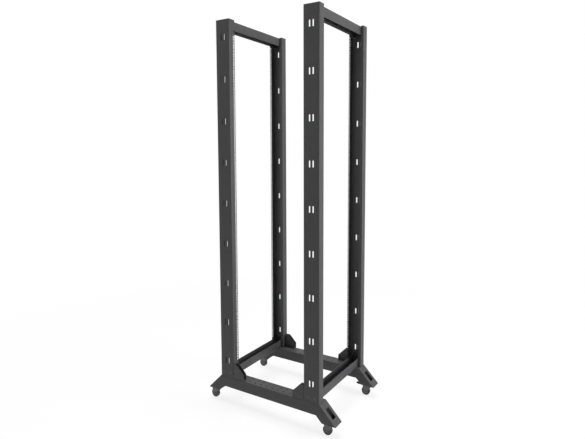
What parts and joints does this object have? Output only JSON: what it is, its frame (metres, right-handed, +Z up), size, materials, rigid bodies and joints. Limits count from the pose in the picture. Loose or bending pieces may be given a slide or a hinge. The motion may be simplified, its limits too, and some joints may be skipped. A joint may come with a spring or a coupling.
{
  "type": "four post open frame rack",
  "caption": "Open frame rack for nineteen inch equipment: channel posts, cross beams, folded side rails with sloping feet, on swivel casters.",
  "frame": {"origin": "on the floor under the middle of the rack", "axes": "+Z up, +X to the right seen from the front, the front faces -Y"},
  "size_m": [0.54, 0.836, 2.1299],
  "materials": {
    "powder": "satin black powder coat",
    "zinc": "dark plated steel",
    "wheel": "dark grey nylon wheel",
    "pedal": "black moulded pedal"
  },
  "bodies": {
    "frame": {"top_beam_front": "powder", "bottom_beam_front": "powder", "top_beam_rear": "powder", "bottom_beam_rear": "powder", "post_front_left": "powder", "gusset_front_left": "powder", "foot_plate_front_left": "powder", "caster_head_front_left": "zinc", "post_front_right": "powder", "gusset_front_right": "powder", "foot_plate_front_right": "powder", "caster_head_front_right": "zinc", "post_rear_left": "powder", "gusset_rear_left": "powder", "foot_plate_rear_left": "powder", "caster_head_rear_left": "zinc", "post_rear_right": "powder", "gusset_rear_right": "powder", "foot_plate_rear_right": "powder", "caster_head_rear_right": "zinc", "side_rail_left": "powder", "side_rail_right": "powder"},
    "fork_front_left": {"caster_fork_front_left": "zinc", "caster_axle_front_left": "zinc"},
    "wheel_front_left": {"caster_wheel_front_left": "wheel"},
    "fork_front_right": {"caster_fork_front_right": "zinc", "caster_axle_front_right": "zinc"},
    "wheel_front_right": {"caster_wheel_front_right": "wheel"},
    "fork_rear_left": {"caster_fork_rear_left": "zinc", "caster_axle_rear_left": "zinc"},
    "wheel_rear_left": {"caster_wheel_rear_left": "wheel"},
    "fork_rear_right": {"caster_fork_rear_right": "zinc", "caster_axle_rear_right": "zinc"},
    "wheel_rear_right": {"caster_wheel_rear_right": "wheel"},
    "pedal": {"brake_pedal": "pedal"}
  },
  "joints": [
    {"name": "swivel_front_left", "type": "hinge", "parent": "frame", "child": "fork_front_left", "pos_m": [-0.235, -0.374, 0.064], "axis": [0, 0, 1], "continuous": true},
    {"name": "roll_front_left", "type": "hinge", "parent": "fork_front_left", "child": "wheel_front_left", "pos_m": [-0.235, -0.352, 0.025], "axis": [1, 0, 0], "continuous": true},
    {"name": "swivel_front_right", "type": "hinge", "parent": "frame", "child": "fork_front_right", "pos_m": [0.235, -0.374, 0.064], "axis": [0, 0, 1], "continuous": true},
    {"name": "roll_front_right", "type": "hinge", "parent": "fork_front_right", "child": "wheel_front_right", "pos_m": [0.235, -0.352, 0.025], "axis": [1, 0, 0], "continuous": true},
    {"name": "swivel_rear_left", "type": "hinge", "parent": "frame", "child": "fork_rear_left", "pos_m": [-0.235, 0.374, 0.064], "axis": [0, 0, 1], "continuous": true},
    {"name": "roll_rear_left", "type": "hinge", "parent": "fork_rear_left", "child": "wheel_rear_left", "pos_m": [-0.235, 0.396, 0.025], "axis": [1, 0, 0], "continuous": true},
    {"name": "swivel_rear_right", "type": "hinge", "parent": "frame", "child": "fork_rear_right", "pos_m": [0.235, 0.374, 0.064], "axis": [0, 0, 1], "continuous": true},
    {"name": "roll_rear_right", "type": "hinge", "parent": "fork_rear_right", "child": "wheel_rear_right", "pos_m": [0.235, 0.396, 0.025], "axis": [1, 0, 0], "continuous": true},
    {"name": "brake_press", "type": "hinge", "parent": "fork_front_right", "child": "pedal", "pos_m": [0.235, -0.341, 0.0565], "axis": [1, 0, 0], "range_deg": [-12, 0]}
  ]
}
